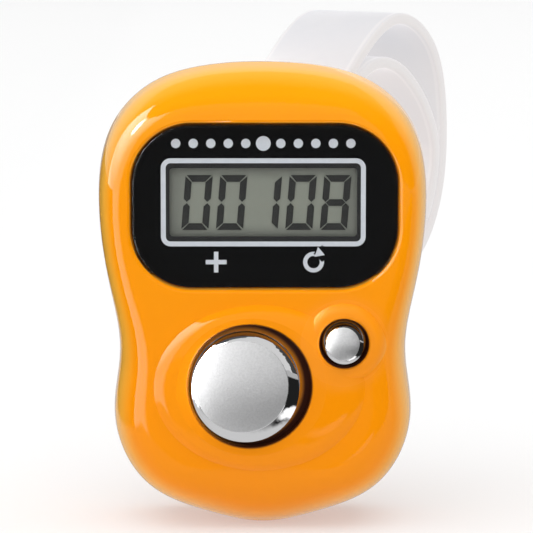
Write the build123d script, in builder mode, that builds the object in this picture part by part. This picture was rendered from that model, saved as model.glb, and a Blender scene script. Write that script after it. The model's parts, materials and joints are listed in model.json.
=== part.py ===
"""Digital tasbih counter on a finger strap, as an assembly of separate pieces.

Millimetres. X runs across, Y from front to back, Z up. The front faces -Y, the two case
halves meet at Y = 0, and the small flat the counter stands on is at Z = 0.
"""

import os
from math import cos, radians, sin

from build123d import *

os.makedirs("parts", exist_ok=True)

# Case outline, right half from crown to foot: across, up, rounding of the front edge and of the back edge
ROWS = [
    (0.0, 38.0, 4.4, 3.0),
    (5.0, 37.65, 4.2, 3.0),
    (9.2, 36.27, 3.6, 2.8),
    (12.2, 33.35, 2.9, 2.6),
    (13.6, 26.17, 2.3, 2.4),
    (12.8, 19.9, 2.6, 2.4),
    (11.92, 14.06, 3.2, 2.4),
    (12.37, 8.4, 3.8, 2.6),
    (9.7, 2.96, 4.8, 3.0),
    (5.0, 0.62, 5.8, 3.2),
    (0.0, -0.36, 6.2, 3.4),
]
SPINE_LOW = 10.0
SPINE_HIGH = 26.0
FRONT_DEPTH = 9.4
BACK_DEPTH = 3.6
WALL = 1.5
EDGE_STEPS = (0, 8, 20, 40, 55, 70, 80, 90)

# Display window
WINDOW_X, WINDOW_Z = 0.17, 26.9
WINDOW_W, WINDOW_H, WINDOW_R = 21.7, 13.44, 4.95
WINDOW_GAP = 0.08
LIP = 0.35
LIP_STEPS = (0, 20, 40, 60, 76)
LENS_FRONT, LENS_BACK = -9.3, -8.3
PRINT_FRONT, PRINT_T = -8.27, 0.08
SEAT = -8.15
VIEW_X, VIEW_Z = 0.06, 27.14
VIEW_W, VIEW_H = 15.25, 5.6
LINE_W, LINE_H, LINE_R, LINE_T = 16.65, 7.2, 0.8, 0.4

# Display glass and its holder
GLASS_W, GLASS_LOW, GLASS_HIGH = 20.4, 21.4, 31.0
LEDGE = 1.7
POLARIZER_FRONT = -7.8
FRONT_GLASS = -7.6
REAR_GLASS = -6.9
REFLECTOR = -6.2
DISPLAY_BACK = -6.0
HOLDER_FRONT = -7.15
HOLDER_W, HOLDER_H, HOLDER_Z = 22.0, 10.9, 26.25

# Digits shown on the display
DIGITS = ("ABCDEF", "ABCDEF", "BC", "ABCDEF", "ABCDEFG")
DIGIT_W, DIGIT_H, DIGIT_STROKE, DIGIT_GAP = 2.21, 4.48, 0.54, 0.05
DIGIT_X, DIGIT_Z, DIGIT_PITCH, DIGIT_SLANT = 0.305, 27.08, 2.82, 0.082

# Circuit board and keypad mat
BOARD_FRONT, BOARD_BACK = -3.0, -2.0
MAT_FRONT = -3.8

# Mound around the count key, from inside the case to its crown: across, up, half width, half height, depth
MOUND = [
    (-0.27, 12.05, 9.3, 7.5, -8.7),
    (-0.27, 12.05, 8.6, 6.83, -9.4),
    (-0.37, 12.07, 8.05, 6.5, -9.68),
    (-0.6, 12.13, 7.2, 6.1, -9.89),
    (-0.9, 12.2, 6.1, 5.65, -10.0),
]

# Count key and reset key: the well in the case as across, up, radius and collar height, then the key itself.
# A face is set a little aside from its barrel: across, up and radius
WELL_FLOOR = -8.6
COUNT_WELL = (-1.04, 12.26, 4.97, -10.0)
COUNT_X, COUNT_Z, COUNT_R = -1.39, 12.2, 4.37
COUNT_FACE = (-0.27, 0.22, 3.8)
COUNT_TRAVEL = 0.8
RESET_WELL = (6.63, 15.76, 1.95, -9.9)
RESET_X, RESET_Z, RESET_R = 6.63, 15.76, 1.57
RESET_FACE = (-0.1, 0.12, 1.36)
RESET_TRAVEL = 0.6
FLANGE_FRONT, FLANGE_BACK = -7.85, -7.0

# Button cell and its cap
CELL_X, CELL_Z, CELL_R = 0.0, 12.2, 5.8
CELL_FRONT, CELL_BACK = -1.3, 1.8
CAP_R, CAP_SEAT = 7.4, 2.7

# Screws
CASE_SCREWS = [(-8.6, 33.7), (8.6, 33.7), (-8.0, 5.4), (8.0, 5.4)]
BOARD_SCREWS = [(-8.6, 19.4), (8.6, 19.4)]

# Strap and the lug it passes through
STRAP_W, STRAP_T = 9.5, 1.0
STRAP_LEAN = 35.0
LUG_W, LUG_LOW, LUG_HIGH, LUG_BACK = 13.2, 22.4, 28.6, 8.9
SLOT_W, SLOT_T, SLOT_Y = 10.0, 1.4, 6.9
STUD_Z = 28.6


def depth(y):
    """Sketch plane parallel to the front, at depth y; extruding by a positive amount goes forward."""
    return Plane.XZ.offset(-y)


def turned(x, z):
    """Sketch plane for a round piece about the front-to-back line through x, z: radius, then depth."""
    return Plane(origin=(x, 0, z), x_dir=(1, 0, 0), z_dir=(0, 0, 1))


def through(x, z):
    """Front-to-back line through x, z."""
    return Axis((x, 0, z), (0, 1, 0))


def outline(share, edge, inset=0.0):
    """Points of the case outline, pulled in by a share of its edge rounding and by an inset."""
    right = []
    for row in ROWS:
        x, z = row[0], row[1]
        centre = min(max(z, SPINE_LOW), SPINE_HIGH)
        reach = (x**2 + (z - centre) ** 2) ** 0.5
        keep = 1 - (inset + share * row[edge]) / reach
        right.append((x * keep, centre + (z - centre) * keep))
    left = [(-x, z) for x, z in reversed(right[1:-1])]
    return right + left


def swell(angle):
    """Depth share and pull-in share along the rounded edge, from the seam at 0 to the face at 90 degrees."""
    return sin(radians(angle)) ** 0.8, 1 - cos(radians(angle)) ** 0.8


def segment(name):
    """Corners of one display segment, about the middle of its digit."""
    w, h, t, g = DIGIT_W / 2, DIGIT_H / 2, DIGIT_STROKE, DIGIT_GAP
    bar = [(2 * g - w, h), (w - 2 * g, h), (w - t - g, h - t), (t + g - w, h - t)]
    post = [(w, h - 2 * g), (w, t / 2 + g), (w - t / 2, g), (w - t, t / 2 + g), (w - t, h - t - g)]
    middle = [(t / 2 + g - w, 0), (t + g - w, t / 2), (w - t - g, t / 2), (w - t / 2 - g, 0)]
    middle += [(w - t - g, -t / 2), (t + g - w, -t / 2)]
    shapes = {
        "A": bar,
        "B": post,
        "C": [(x, -z) for x, z in post],
        "D": [(x, -z) for x, z in bar],
        "E": [(-x, -z) for x, z in post],
        "F": [(-x, z) for x, z in post],
        "G": middle,
    }
    return shapes[name]


def frame_line():
    """Thin rounded frame printed around the display opening."""
    with Locations((VIEW_X, VIEW_Z)):
        RectangleRounded(LINE_W, LINE_H, LINE_R)
        RectangleRounded(LINE_W - 2 * LINE_T, LINE_H - 2 * LINE_T, LINE_R - LINE_T, mode=Mode.SUBTRACT)


def key_marks():
    """Plain printed marks: a row of beads above, a plus and a turning arrow below."""
    with Locations((VIEW_X, 31.95)):
        with GridLocations(1.42, 1, 11, 1):
            Circle(0.38)
        Circle(0.6)
    with Locations((-3.78, 22.25)):
        Rectangle(1.7, 0.36)
        Rectangle(0.36, 1.7)
    with Locations((4.15, 22.25)):
        Circle(0.85)
        Circle(0.51, mode=Mode.SUBTRACT)
    with Locations((4.85, 22.95)):
        Rectangle(1.0, 1.0, rotation=45, mode=Mode.SUBTRACT)
    with Locations((4.6, 23.0)):
        RegularPolygon(0.5, 3, rotation=-20)


def recess(more):
    """Outline of the window recess, widened for its rounded lip."""
    wide, high, corner = WINDOW_W / 2 + WINDOW_GAP, WINDOW_H / 2 + WINDOW_GAP, WINDOW_R + WINDOW_GAP
    with Locations((WINDOW_X, WINDOW_Z)):
        RectangleRounded(2 * (wide + more), 2 * (high + more), corner + more)


# Front half of the case: moulded shell with key collars, display seat, screw posts and board posts
with BuildPart() as front_shell:
    for angle in EDGE_STEPS:
        out, lean = swell(angle)
        with BuildSketch(depth(-FRONT_DEPTH * out)):
            with BuildLine():
                Spline(*outline(lean, 2), periodic=True)
            make_face()
    loft()
    for x, z, wide, high, y in MOUND:
        with BuildSketch(depth(y)):
            with Locations((x, z)):
                Ellipse(wide, high)
    loft()
    with BuildSketch(turned(RESET_X, RESET_Z)):
        with BuildLine():
            collar = Spline((2.35, -9.9), (3.2, -9.46), (3.8, -8.3), tangents=[(1, 0), (0.4, 1)])
            Polyline(collar @ 1, (0, -8.3), (0, -9.9), collar @ 0)
        make_face()
    revolve(axis=through(RESET_X, RESET_Z))
    for angle in EDGE_STEPS:
        out, lean = swell(angle)
        with BuildSketch(depth(-(FRONT_DEPTH - WALL) * out)):
            with BuildLine():
                Spline(*outline(lean, 2, WALL), periodic=True)
            make_face()
    loft(mode=Mode.SUBTRACT)
    with BuildSketch(depth(-7.2)):
        with Locations((WINDOW_X, WINDOW_Z)):
            RectangleRounded(WINDOW_W + 1.0, WINDOW_H + 1.0, WINDOW_R + 0.5)
    extrude(amount=1.3)
    with BuildSketch(depth(0)):
        with Locations(*CASE_SCREWS):
            Circle(1.6)
    extrude(amount=5.5)
    with BuildSketch(depth(BOARD_FRONT)):
        with Locations(*BOARD_SCREWS):
            Circle(1.1)
    extrude(amount=5.2)
    with BuildSketch(depth(SEAT)):
        recess(0)
    for angle in LIP_STEPS:
        with BuildSketch(depth(LIP * (1 - sin(radians(angle))) - FRONT_DEPTH)):
            recess(LIP * (1 - cos(radians(angle))))
    with BuildSketch(depth(-FRONT_DEPTH - 1)):
        recess(LIP)
    loft(ruled=True, mode=Mode.SUBTRACT)
    with BuildSketch(depth(-2.9)):
        with Locations((0, HOLDER_Z)):
            RectangleRounded(HOLDER_W + 0.3, HOLDER_H + 0.3, 0.6)
    extrude(amount=4.3, mode=Mode.SUBTRACT)
    with BuildSketch(depth(-6)):
        with Locations((0, (GLASS_LOW + GLASS_HIGH) / 2)):
            RectangleRounded(GLASS_W + 0.4, GLASS_HIGH - GLASS_LOW + 0.4, 0.4)
    extrude(amount=3, mode=Mode.SUBTRACT)
    for x, z, radius, top in (COUNT_WELL, RESET_WELL):
        with BuildSketch(turned(x, z)):
            with BuildLine():
                wall = Polyline((0, -13), (0, WELL_FLOOR), (radius, WELL_FLOOR), (radius, top + LIP))
                lip = RadiusArc(wall @ 1, (radius + LIP, top - 0.04), -1.15 * LIP)
                Polyline(lip @ 1, (radius + LIP, -13), wall @ 0)
            make_face()
        revolve(axis=through(x, z), mode=Mode.SUBTRACT)
    with BuildSketch(depth(-6)):
        with Locations((COUNT_X, COUNT_Z)):
            Circle(COUNT_R + 0.06)
        with Locations((RESET_X, RESET_Z)):
            Circle(RESET_R + 0.06)
    extrude(amount=4, mode=Mode.SUBTRACT)
    with BuildSketch(depth(BOARD_FRONT)):
        with Locations((COUNT_X, COUNT_Z)):
            Circle(5.9)
        with Locations((RESET_X, RESET_Z)):
            Circle(2.6)
    extrude(amount=BOARD_FRONT - FLANGE_FRONT + 0.05, mode=Mode.SUBTRACT)
    with BuildSketch(depth(0)):
        with Locations(*CASE_SCREWS):
            Circle(0.65)
    extrude(amount=5, mode=Mode.SUBTRACT)
    with BuildSketch(depth(BOARD_FRONT)):
        with Locations(*BOARD_SCREWS):
            Circle(0.45)
    extrude(amount=3, mode=Mode.SUBTRACT)
    with BuildSketch(Plane.XY):
        Rectangle(40, 40)
    extrude(amount=-2, mode=Mode.SUBTRACT)
front_shell.part.label = "front_shell"
export_step(front_shell.part, "parts/front_shell.step")

# Back half of the case: shell with a locating lip, cell well, bayonet opening and the strap lug
with BuildPart() as back_shell:
    for angle in EDGE_STEPS:
        out, lean = swell(angle)
        with BuildSketch(depth(BACK_DEPTH * out)):
            with BuildLine():
                Spline(*outline(lean, 3), periodic=True)
            make_face()
    loft()
    for angle in EDGE_STEPS:
        out, lean = swell(angle)
        with BuildSketch(depth((BACK_DEPTH - WALL) * out)):
            with BuildLine():
                Spline(*outline(lean, 3, WALL), periodic=True)
            make_face()
    loft(mode=Mode.SUBTRACT)
    with BuildSketch(depth(1.2)):
        with BuildLine():
            Spline(*outline(0, 3, 1.3), periodic=True)
        make_face()
        with BuildLine():
            Spline(*outline(0, 3, 2.4), periodic=True)
        make_face(mode=Mode.SUBTRACT)
    extrude(amount=1.2)
    with BuildSketch(depth(0)):
        with BuildLine():
            Spline(*outline(0, 3, 1.75), periodic=True)
        make_face()
        with BuildLine():
            Spline(*outline(0, 3, 2.4), periodic=True)
        make_face(mode=Mode.SUBTRACT)
        with Locations(*CASE_SCREWS):
            Circle(1.8, mode=Mode.SUBTRACT)
    extrude(amount=1.1)
    with BuildSketch(depth(2.6)):
        with Locations(*CASE_SCREWS):
            Circle(1.7)
    extrude(amount=2.6)
    with BuildSketch(depth(2.4)):
        with Locations((CELL_X, CELL_Z)):
            Circle(8.4)
            Circle(7.6, mode=Mode.SUBTRACT)
    extrude(amount=3.8)
    with BuildSketch(depth(1.0)):
        with Locations((CELL_X, CELL_Z)):
            with PolarLocations(6.95, 3, start_angle=90):
                Rectangle(1.7, 2.0)
    extrude(amount=2.4)
    with BuildSketch(depth(CAP_SEAT)):
        with Locations((CELL_X, CELL_Z)):
            Circle(CAP_R + 0.15)
    extrude(amount=-2, mode=Mode.SUBTRACT)
    with BuildSketch(depth(1.5)):
        with Locations((CELL_X, CELL_Z)):
            Circle(6.55)
            with PolarLocations(6.4, 2, start_angle=45):
                Rectangle(2.0, 4.0)
    extrude(amount=-2, mode=Mode.SUBTRACT)
    with BuildSketch(depth(LUG_BACK)):
        with Locations((0, (LUG_LOW + LUG_HIGH) / 2)):
            Rectangle(LUG_W, LUG_HIGH - LUG_LOW)
    extrude(amount=LUG_BACK - 2.6)
    fillet(back_shell.edges().filter_by(Axis.Z).group_by(Axis.Y)[-1], radius=2.2)
    with BuildSketch(Plane.XY.offset(LUG_LOW)):
        with Locations((0, SLOT_Y)):
            RectangleRounded(SLOT_W, SLOT_T, 0.4)
    extrude(amount=LUG_HIGH - LUG_LOW, mode=Mode.SUBTRACT)
    with BuildSketch(depth(2.0)):
        with Locations(*CASE_SCREWS):
            Circle(1.4)
    extrude(amount=-3, mode=Mode.SUBTRACT)
    with BuildSketch(depth(-1)):
        with Locations(*CASE_SCREWS):
            Circle(0.75)
    extrude(amount=-5, mode=Mode.SUBTRACT)
    with BuildSketch(Plane.XY):
        Rectangle(40, 40)
    extrude(amount=-2, mode=Mode.SUBTRACT)
back_shell.part.label = "back_shell"
export_step(back_shell.part, "parts/back_shell.step")

# Clear window with a bevelled edge
with BuildPart() as window_lens:
    with BuildSketch(depth(LENS_BACK)):
        with Locations((WINDOW_X, WINDOW_Z)):
            RectangleRounded(WINDOW_W, WINDOW_H, WINDOW_R)
    extrude(amount=LENS_BACK - LENS_FRONT)
    fillet(window_lens.edges().group_by(Axis.Y)[0], radius=0.35)
window_lens.part.label = "window_lens"
export_step(window_lens.part, "parts/window_lens.step")

# Black print behind the window, open over the display
with BuildPart() as window_mask:
    with BuildSketch(depth(SEAT)):
        with Locations((WINDOW_X, WINDOW_Z)):
            RectangleRounded(WINDOW_W, WINDOW_H, WINDOW_R)
        with Locations((VIEW_X, VIEW_Z)):
            RectangleRounded(VIEW_W, VIEW_H, 0.3, mode=Mode.SUBTRACT)
    extrude(amount=SEAT - PRINT_FRONT)
    with BuildSketch(depth(PRINT_FRONT + PRINT_T)):
        frame_line()
        key_marks()
    extrude(amount=PRINT_T, mode=Mode.SUBTRACT)
window_mask.part.label = "window_mask"
export_step(window_mask.part, "parts/window_mask.step")

# White printed frame
with BuildPart() as window_frame_line:
    with BuildSketch(depth(PRINT_FRONT + PRINT_T)):
        frame_line()
    extrude(amount=PRINT_T)
window_frame_line.part.label = "window_frame_line"
export_step(window_frame_line.part, "parts/window_frame_line.step")

# White printed marks
with BuildPart() as window_marks:
    with BuildSketch(depth(PRINT_FRONT + PRINT_T)):
        key_marks()
    extrude(amount=PRINT_T)
window_marks.part.label = "window_marks"
export_step(window_marks.part, "parts/window_marks.step")

# Display segments that are switched on
with BuildPart() as lcd_segments:
    with BuildSketch(depth(POLARIZER_FRONT)):
        for place, names in enumerate(DIGITS):
            for name in names:
                corners = segment(name)
                middle = DIGIT_X + (place - 2) * DIGIT_PITCH
                leaning = [(middle + x + DIGIT_SLANT * z, DIGIT_Z + z) for x, z in corners]
                with BuildLine():
                    Polyline(*leaning, close=True)
                make_face()
    extrude(amount=0.06)
lcd_segments.part.label = "lcd_segments"
export_step(lcd_segments.part, "parts/lcd_segments.step")

# Display glass, front to back: polarizer, front glass with the contact ledge, rear glass, reflector
with BuildPart() as lcd_polarizer:
    with BuildSketch(depth(FRONT_GLASS)):
        with Locations((0, (GLASS_LOW + LEDGE + GLASS_HIGH) / 2)):
            Rectangle(GLASS_W - 0.6, GLASS_HIGH - GLASS_LOW - LEDGE - 0.6)
    extrude(amount=FRONT_GLASS - POLARIZER_FRONT)
lcd_polarizer.part.label = "lcd_polarizer"
export_step(lcd_polarizer.part, "parts/lcd_polarizer.step")

with BuildPart() as lcd_front_glass:
    with BuildSketch(depth(REAR_GLASS)):
        with Locations((0, (GLASS_LOW + GLASS_HIGH) / 2)):
            Rectangle(GLASS_W, GLASS_HIGH - GLASS_LOW)
    extrude(amount=REAR_GLASS - FRONT_GLASS)
lcd_front_glass.part.label = "lcd_front_glass"
export_step(lcd_front_glass.part, "parts/lcd_front_glass.step")

with BuildPart() as lcd_rear_glass:
    with BuildSketch(depth(REFLECTOR)):
        with Locations((0, (GLASS_LOW + LEDGE + GLASS_HIGH) / 2)):
            Rectangle(GLASS_W, GLASS_HIGH - GLASS_LOW - LEDGE)
    extrude(amount=REFLECTOR - REAR_GLASS)
lcd_rear_glass.part.label = "lcd_rear_glass"
export_step(lcd_rear_glass.part, "parts/lcd_rear_glass.step")

with BuildPart() as lcd_reflector:
    with BuildSketch(depth(DISPLAY_BACK)):
        with Locations((0, (GLASS_LOW + LEDGE + GLASS_HIGH) / 2)):
            Rectangle(GLASS_W - 0.6, GLASS_HIGH - GLASS_LOW - LEDGE - 0.6)
    extrude(amount=DISPLAY_BACK - REFLECTOR)
lcd_reflector.part.label = "lcd_reflector"
export_step(lcd_reflector.part, "parts/lcd_reflector.step")

# Frame that holds the display against the case, with a slot for the contact strip
with BuildPart() as lcd_holder:
    with BuildSketch(depth(BOARD_FRONT)):
        with Locations((0, HOLDER_Z)):
            RectangleRounded(HOLDER_W, HOLDER_H, 0.4)
    extrude(amount=BOARD_FRONT - HOLDER_FRONT)
    with BuildSketch(depth(DISPLAY_BACK)):
        with Locations((0, (GLASS_LOW + GLASS_HIGH) / 2)):
            Rectangle(GLASS_W + 0.2, GLASS_HIGH - GLASS_LOW + 0.2)
    extrude(amount=2, mode=Mode.SUBTRACT)
    with BuildSketch(depth(BOARD_FRONT)):
        with Locations((0, 27.3)):
            Rectangle(18.0, 5.6)
        with Locations((0, 22.25)):
            Rectangle(18.8, 1.5)
    extrude(amount=4, mode=Mode.SUBTRACT)
lcd_holder.part.label = "lcd_holder"
export_step(lcd_holder.part, "parts/lcd_holder.step")

# Rubber strip that carries the display signals from the board to the glass ledge
with BuildPart() as contact_strip:
    with BuildSketch(depth(BOARD_FRONT)):
        with Locations((0, 22.25)):
            Rectangle(18.4, 1.3)
    extrude(amount=BOARD_FRONT - REAR_GLASS)
contact_strip.part.label = "contact_strip"
export_step(contact_strip.part, "parts/contact_strip.step")

# Circuit board, shaped to the case and notched around the screw posts
with BuildPart() as circuit_board:
    with BuildSketch(depth(BOARD_BACK)):
        with BuildLine():
            Spline(*outline(0, 2, 2.7), periodic=True)
        make_face()
        with Locations(*CASE_SCREWS):
            Circle(1.9, mode=Mode.SUBTRACT)
        with Locations(*BOARD_SCREWS):
            Circle(0.55, mode=Mode.SUBTRACT)
    extrude(amount=BOARD_BACK - BOARD_FRONT)
circuit_board.part.label = "circuit_board"
export_step(circuit_board.part, "parts/circuit_board.step")

# Printed contact pads under the two keys, each split in two halves
with BuildPart() as key_pads:
    with BuildSketch(depth(BOARD_FRONT)):
        with Locations((COUNT_X, COUNT_Z)):
            Circle(2.3)
            Rectangle(0.4, 5, mode=Mode.SUBTRACT)
        with Locations((RESET_X, RESET_Z)):
            Circle(1.1)
            Rectangle(0.3, 3, mode=Mode.SUBTRACT)
    extrude(amount=0.05)
key_pads.part.label = "key_pads"
export_step(key_pads.part, "parts/key_pads.step")

# Resin drop over the counting chip
with BuildPart() as chip_drop:
    with BuildSketch(depth(BOARD_BACK + 1.1)):
        with Locations((0, 26.4)):
            Circle(3.6)
    extrude(amount=1.1)
    fillet(chip_drop.edges().group_by(Axis.Y)[-1], radius=0.9)
chip_drop.part.label = "chip_drop"
export_step(chip_drop.part, "parts/chip_drop.step")

# Small surface parts beside the chip
with BuildPart() as board_components:
    with BuildSketch(depth(BOARD_BACK + 0.7)):
        with Locations((-7.0, 28.4), (-7.0, 25.6), (7.0, 28.4)):
            Rectangle(1.0, 1.9)
        with Locations((7.0, 25.0)):
            Rectangle(1.6, 3.0)
    extrude(amount=0.7)
board_components.part.label = "board_components"
export_step(board_components.part, "parts/board_components.step")

# Silicone mat under both keys
with BuildPart() as keypad_mat:
    with BuildSketch(depth(BOARD_FRONT)):
        with Locations((COUNT_X, COUNT_Z)):
            Circle(6.2)
        with Locations((RESET_X, RESET_Z)):
            Circle(2.8)
        make_hull()
        with Locations((COUNT_X, COUNT_Z)):
            Circle(5.0, mode=Mode.SUBTRACT)
        with Locations((RESET_X, RESET_Z)):
            Circle(2.2, mode=Mode.SUBTRACT)
    extrude(amount=BOARD_FRONT - MAT_FRONT)
keypad_mat.part.label = "keypad_mat"
export_step(keypad_mat.part, "parts/keypad_mat.step")

# Collapsing silicone domes that push the keys back out
with BuildPart() as count_dome:
    with BuildSketch(turned(COUNT_X, COUNT_Z)):
        with BuildLine():
            Polyline((5.0, BOARD_FRONT), (5.0, MAT_FRONT), (3.3, -6.4), (2.6, -6.4), close=False)
            Polyline((2.6, -6.4), (2.6, -5.9), (4.4, MAT_FRONT), (4.4, BOARD_FRONT), (5.0, BOARD_FRONT))
        make_face()
    revolve(axis=through(COUNT_X, COUNT_Z))
count_dome.part.label = "count_dome"
export_step(count_dome.part, "parts/count_dome.step")

with BuildPart() as reset_dome:
    with BuildSketch(turned(RESET_X, RESET_Z)):
        with BuildLine():
            Polyline((2.2, BOARD_FRONT), (2.2, MAT_FRONT), (1.5, -6.4), (1.0, -6.4), close=False)
            Polyline((1.0, -6.4), (1.0, -5.9), (1.7, MAT_FRONT), (1.7, BOARD_FRONT), (2.2, BOARD_FRONT))
        make_face()
    revolve(axis=through(RESET_X, RESET_Z))
reset_dome.part.label = "reset_dome"
export_step(reset_dome.part, "parts/reset_dome.step")

# Count key: plated cap, silicone plunger and carbon pill
with BuildPart() as count_button:
    with BuildSketch(turned(COUNT_X, COUNT_Z)):
        with BuildLine():
            flange = Polyline((0, FLANGE_BACK), (5.6, FLANGE_BACK), (5.6, FLANGE_FRONT), (COUNT_R, FLANGE_FRONT))
            Polyline(flange @ 1, (COUNT_R, -10.85), (0, -10.85), flange @ 0)
        make_face()
    revolve(axis=through(COUNT_X, COUNT_Z))
    for share, y in ((0, -10.85), (0.4, -10.95), (1, -11.05)):
        with BuildSketch(depth(y)):
            with Locations((COUNT_X + share * COUNT_FACE[0], COUNT_Z + share * COUNT_FACE[1])):
                Circle(COUNT_R + share * (COUNT_FACE[2] - COUNT_R))
    loft()
    with BuildSketch(turned(COUNT_X + COUNT_FACE[0], COUNT_Z + COUNT_FACE[1])):
        with BuildLine():
            dome = ThreePointArc((0, -11.45), (COUNT_FACE[2] / 2, -11.35), (COUNT_FACE[2], -11.05))
            Polyline(dome @ 1, (0, -11.05), dome @ 0)
        make_face()
    revolve(axis=through(COUNT_X + COUNT_FACE[0], COUNT_Z + COUNT_FACE[1]))
count_button.part.label = "count_button"
export_step(count_button.part, "parts/count_button.step")

with BuildPart() as count_plunger:
    with BuildSketch(depth(-6.4)):
        with Locations((COUNT_X, COUNT_Z)):
            Circle(3.3)
    extrude(amount=-6.4 - FLANGE_BACK)
    with BuildSketch(depth(-4.4)):
        with Locations((COUNT_X, COUNT_Z)):
            Circle(2.1)
    extrude(amount=2.0)
count_plunger.part.label = "count_plunger"
export_step(count_plunger.part, "parts/count_plunger.step")

with BuildPart() as count_pill:
    with BuildSketch(depth(BOARD_FRONT - COUNT_TRAVEL - 0.1)):
        with Locations((COUNT_X, COUNT_Z)):
            Circle(2.0)
    extrude(amount=BOARD_FRONT - COUNT_TRAVEL - 0.1 + 4.4)
count_pill.part.label = "count_pill"
export_step(count_pill.part, "parts/count_pill.step")

# Reset key: plated cap, silicone plunger and carbon pill
with BuildPart() as reset_button:
    with BuildSketch(turned(RESET_X, RESET_Z)):
        with BuildLine():
            flange = Polyline((0, FLANGE_BACK), (2.3, FLANGE_BACK), (2.3, FLANGE_FRONT), (RESET_R, FLANGE_FRONT))
            Polyline(flange @ 1, (RESET_R, -10.6), (0, -10.6), flange @ 0)
        make_face()
    revolve(axis=through(RESET_X, RESET_Z))
    for share, y in ((0, -10.6), (0.4, -10.66), (1, -10.72)):
        with BuildSketch(depth(y)):
            with Locations((RESET_X + share * RESET_FACE[0], RESET_Z + share * RESET_FACE[1])):
                Circle(RESET_R + share * (RESET_FACE[2] - RESET_R))
    loft()
    with BuildSketch(turned(RESET_X + RESET_FACE[0], RESET_Z + RESET_FACE[1])):
        with BuildLine():
            dome = ThreePointArc((0, -10.92), (RESET_FACE[2] / 2, -10.87), (RESET_FACE[2], -10.72))
            Polyline(dome @ 1, (0, -10.72), dome @ 0)
        make_face()
    revolve(axis=through(RESET_X + RESET_FACE[0], RESET_Z + RESET_FACE[1]))
reset_button.part.label = "reset_button"
export_step(reset_button.part, "parts/reset_button.step")

with BuildPart() as reset_plunger:
    with BuildSketch(depth(-6.4)):
        with Locations((RESET_X, RESET_Z)):
            Circle(1.5)
    extrude(amount=-6.4 - FLANGE_BACK)
    with BuildSketch(depth(-4.1)):
        with Locations((RESET_X, RESET_Z)):
            Circle(0.9)
    extrude(amount=2.3)
reset_plunger.part.label = "reset_plunger"
export_step(reset_plunger.part, "parts/reset_plunger.step")

with BuildPart() as reset_pill:
    with BuildSketch(depth(BOARD_FRONT - RESET_TRAVEL - 0.1)):
        with Locations((RESET_X, RESET_Z)):
            Circle(0.85)
    extrude(amount=BOARD_FRONT - RESET_TRAVEL - 0.1 + 4.1)
reset_pill.part.label = "reset_pill"
export_step(reset_pill.part, "parts/reset_pill.step")

# Button cell: positive can at the back, sealing ring, negative cover toward the board
with BuildPart() as cell_can:
    with BuildSketch(depth(CELL_BACK)):
        with Locations((CELL_X, CELL_Z)):
            Circle(CELL_R)
    extrude(amount=CELL_BACK - CELL_FRONT - 0.3)
    fillet(cell_can.edges(), radius=0.25)
cell_can.part.label = "cell_can"
export_step(cell_can.part, "parts/cell_can.step")

with BuildPart() as cell_seal:
    with BuildSketch(depth(CELL_FRONT + 0.3)):
        with Locations((CELL_X, CELL_Z)):
            Circle(5.3)
            Circle(4.9, mode=Mode.SUBTRACT)
    extrude(amount=0.15)
cell_seal.part.label = "cell_seal"
export_step(cell_seal.part, "parts/cell_seal.step")

with BuildPart() as cell_cover:
    with BuildSketch(depth(CELL_FRONT + 0.3)):
        with Locations((CELL_X, CELL_Z)):
            Circle(4.9)
    extrude(amount=0.3)
cell_cover.part.label = "cell_cover"
export_step(cell_cover.part, "parts/cell_cover.step")

# Spring leaf under the cell and side leaf against the can
with BuildPart() as negative_contact:
    with BuildSketch(Plane.XY.offset(CELL_Z - 1.2)):
        with BuildLine():
            Polyline((4.4, -2.0), (2.6, -2.0), (-0.6, -1.5), (-1.6, -1.5), (-1.6, -1.32), (-0.6, -1.32))
            Polyline((-0.6, -1.32), (2.6, -1.82), (4.4, -1.82), (4.4, -2.0))
        make_face()
    extrude(amount=2.4)
negative_contact.part.label = "negative_contact"
export_step(negative_contact.part, "parts/negative_contact.step")

with BuildPart() as positive_contact:
    with BuildSketch(Plane.XY.offset(CELL_Z - 1.5)):
        with BuildLine():
            Polyline((-7.2, -2.0), (-5.82, -2.0), (-5.82, 0.8), (-6.02, 0.8), (-6.02, -1.8), (-7.2, -1.8), close=True)
        make_face()
    extrude(amount=3.0)
positive_contact.part.label = "positive_contact"
export_step(positive_contact.part, "parts/positive_contact.step")

# Cell cap with a coin slot and two bayonet tabs
with BuildPart() as battery_cap:
    with BuildSketch(depth(BACK_DEPTH)):
        with Locations((CELL_X, CELL_Z)):
            Circle(CAP_R)
    extrude(amount=BACK_DEPTH - CAP_SEAT - 0.02)
    fillet(battery_cap.edges().group_by(Axis.Y)[-1], radius=0.3)
    with BuildSketch(depth(CAP_SEAT + 0.1)):
        with Locations((CELL_X, CELL_Z)):
            Circle(6.4)
    extrude(amount=1.6)
    with BuildSketch(depth(1.95)):
        with Locations((CELL_X, CELL_Z)):
            with PolarLocations(6.55, 2):
                Rectangle(1.3, 3.4)
    extrude(amount=0.75)
    with BuildSketch(depth(CELL_BACK + 0.05)):
        with Locations((CELL_X, CELL_Z)):
            Circle(6.0)
    extrude(amount=2, mode=Mode.SUBTRACT)
    with BuildSketch(depth(BACK_DEPTH - 0.7)):
        with Locations((CELL_X, CELL_Z)):
            SlotOverall(9.0, 1.5)
    extrude(amount=-2, mode=Mode.SUBTRACT)
battery_cap.part.label = "battery_cap"
export_step(battery_cap.part, "parts/battery_cap.step")

# Four screws that close the case, driven from the back
with BuildPart() as case_screws:
    with BuildSketch(depth(2.8)):
        with Locations(*CASE_SCREWS):
            Circle(1.25)
    extrude(amount=0.8)
    with BuildSketch(depth(2.0)):
        with Locations(*CASE_SCREWS):
            Circle(0.6)
    extrude(amount=6.6)
    with BuildSketch(depth(2.4)):
        with Locations(*CASE_SCREWS):
            Rectangle(1.7, 0.4)
            Rectangle(0.4, 1.7)
    extrude(amount=-1, mode=Mode.SUBTRACT)
case_screws.part.label = "case_screws"
export_step(case_screws.part, "parts/case_screws.step")

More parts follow.
